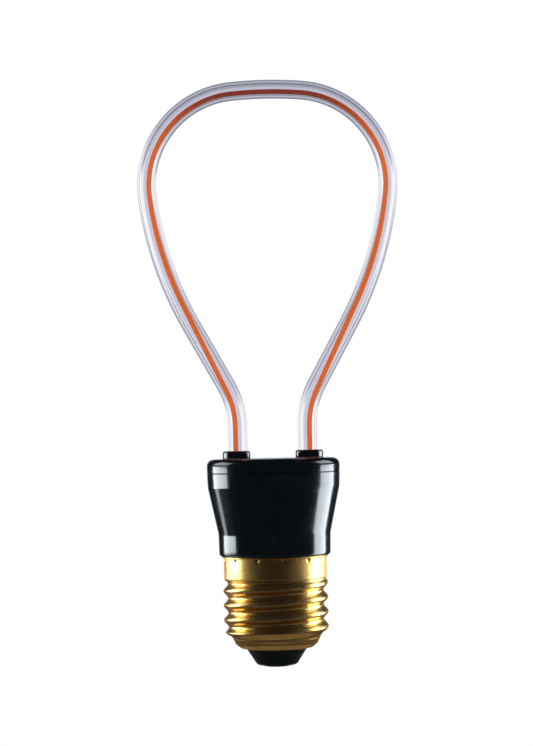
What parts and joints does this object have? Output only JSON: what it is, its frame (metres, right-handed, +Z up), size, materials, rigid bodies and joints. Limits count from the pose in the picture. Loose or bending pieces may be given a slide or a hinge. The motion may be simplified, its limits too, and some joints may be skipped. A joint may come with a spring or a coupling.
{
  "type": "led lamp",
  "caption": "Screw-cap LED lamp whose flexible filament runs in a clear glass tube bent to the outline of a light bulb, over a flared black driver housing.",
  "frame": {"origin": "middle of the centre contact's flat face, at the bottom of the screw cap", "axes": "+Z up along the cap's axis to the crown of the loop, +X to the right along the loop's plane, +Y away from the viewer of the picture"},
  "size_m": [0.065, 0.0332, 0.1465],
  "materials": {
    "clear_glass": "polished",
    "phosphor_silicone": "smooth",
    "white_silicone": "smooth",
    "red_silicone": "satin",
    "flexible_strip": "matte",
    "light_chip": "glossy",
    "black_plastic": "high gloss",
    "insulator_plastic": "satin",
    "cap_brass": "polished, lightly drawn",
    "tinned_metal": "satin",
    "circuit_board": "solder mask",
    "moulded_chip": "matte",
    "chip_ceramic": "matte",
    "can_aluminium": "satin",
    "blue_film": "glossy",
    "black_rubber": "matte",
    "ferrite": "matte",
    "enamelled_copper": "lacquered",
    "orange_epoxy": "glossy",
    "blue_epoxy": "glossy",
    "resistor_body": "lacquered",
    "red_insulation": "smooth",
    "blue_insulation": "smooth"
  },
  "bodies": {
    "root": {"glass_tube": "clear_glass", "filament_coating": "phosphor_silicone", "filament_strip": "flexible_strip", "led_chips": "light_chip", "left_end_tab": "tinned_metal", "right_end_tab": "tinned_metal", "left_tube_plug": "white_silicone", "right_tube_plug": "white_silicone", "left_sealant": "white_silicone", "right_sealant": "white_silicone", "left_collar": "black_plastic", "right_collar": "black_plastic", "left_gasket": "red_silicone", "right_gasket": "red_silicone", "housing_lid": "black_plastic", "housing_body": "black_plastic", "screw_shell": "cap_brass", "cap_insulator": "insulator_plastic", "centre_contact": "cap_brass", "contact_solder": "tinned_metal", "driver_board": "circuit_board", "bridge_rectifier": "moulded_chip", "driver_chip": "moulded_chip", "smoothing_capacitor": "can_aluminium", "capacitor_sleeve": "blue_film", "capacitor_bung": "black_rubber", "capacitor_legs": "tinned_metal", "choke_core": "ferrite", "choke_winding": "enamelled_copper", "film_capacitor": "orange_epoxy", "varistor": "blue_epoxy", "chip_resistors": "moulded_chip", "chip_capacitors": "chip_ceramic", "fuse_resistor": "resistor_body", "fuse_sleeve": "black_rubber", "live_lead": "red_insulation", "neutral_lead": "blue_insulation", "left_output_lead": "red_insulation", "right_output_lead": "red_insulation"}
  },
  "joints": []
}
